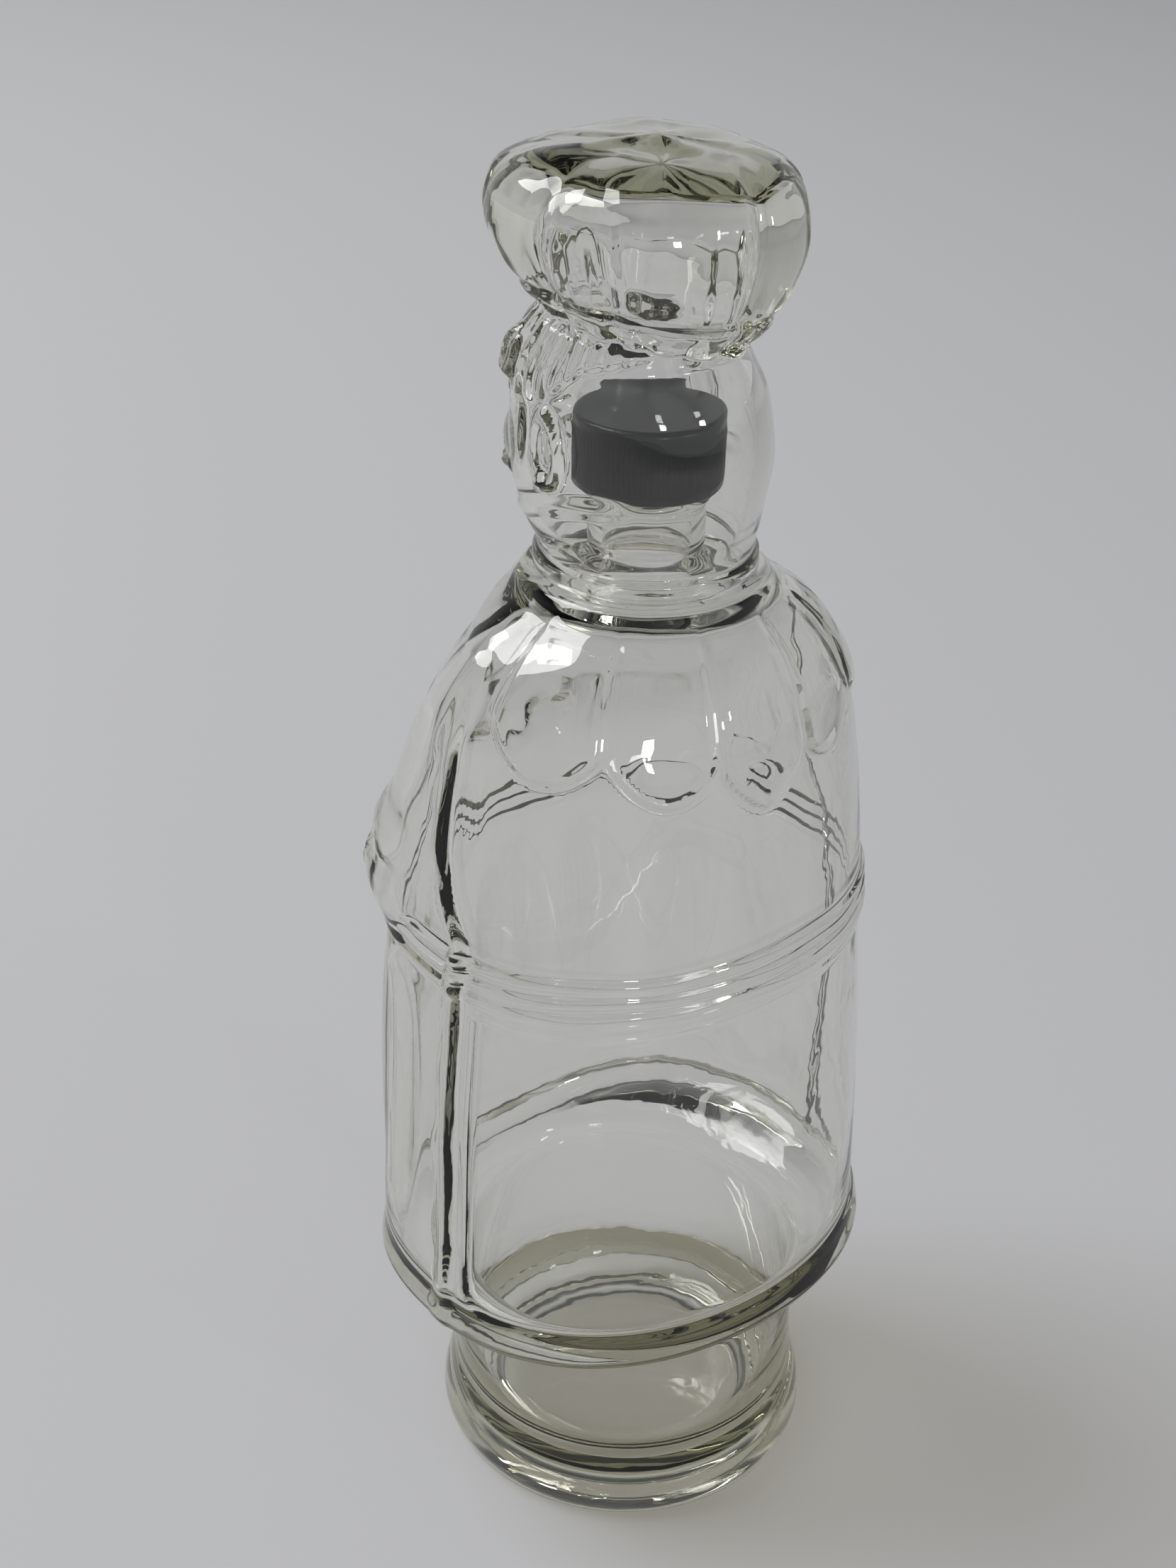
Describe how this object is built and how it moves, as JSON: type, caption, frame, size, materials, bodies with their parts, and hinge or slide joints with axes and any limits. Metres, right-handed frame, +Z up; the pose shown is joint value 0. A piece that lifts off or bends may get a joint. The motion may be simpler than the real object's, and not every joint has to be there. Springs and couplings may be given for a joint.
{
  "type": "figural glass decanter",
  "caption": "Clear glass decanter shaped as a round chef, with a ribbed black screw cap on its neck and a hollow glass head in a puffed hat that stands over the cap.",
  "frame": {"origin": "centre of the foot ring on the surface the bottle stands on, on the shared axis of foot and neck", "axes": "+Z up along the neck; the figure's front faces -Y and its left side is +X; the head is worn turned about 14 degrees towards +X and its hat is tipped about 50 degrees towards +X"},
  "size_m": [0.1102, 0.0917, 0.289],
  "materials": {
    "flint_glass": "clear blown soda-lime glass with a faint green tint",
    "black_cap": "moulded black phenolic, glossy"
  },
  "bodies": {
    "root": {"bottle": "flint_glass", "head": "flint_glass", "screw_cap": "black_cap"}
  },
  "joints": []
}
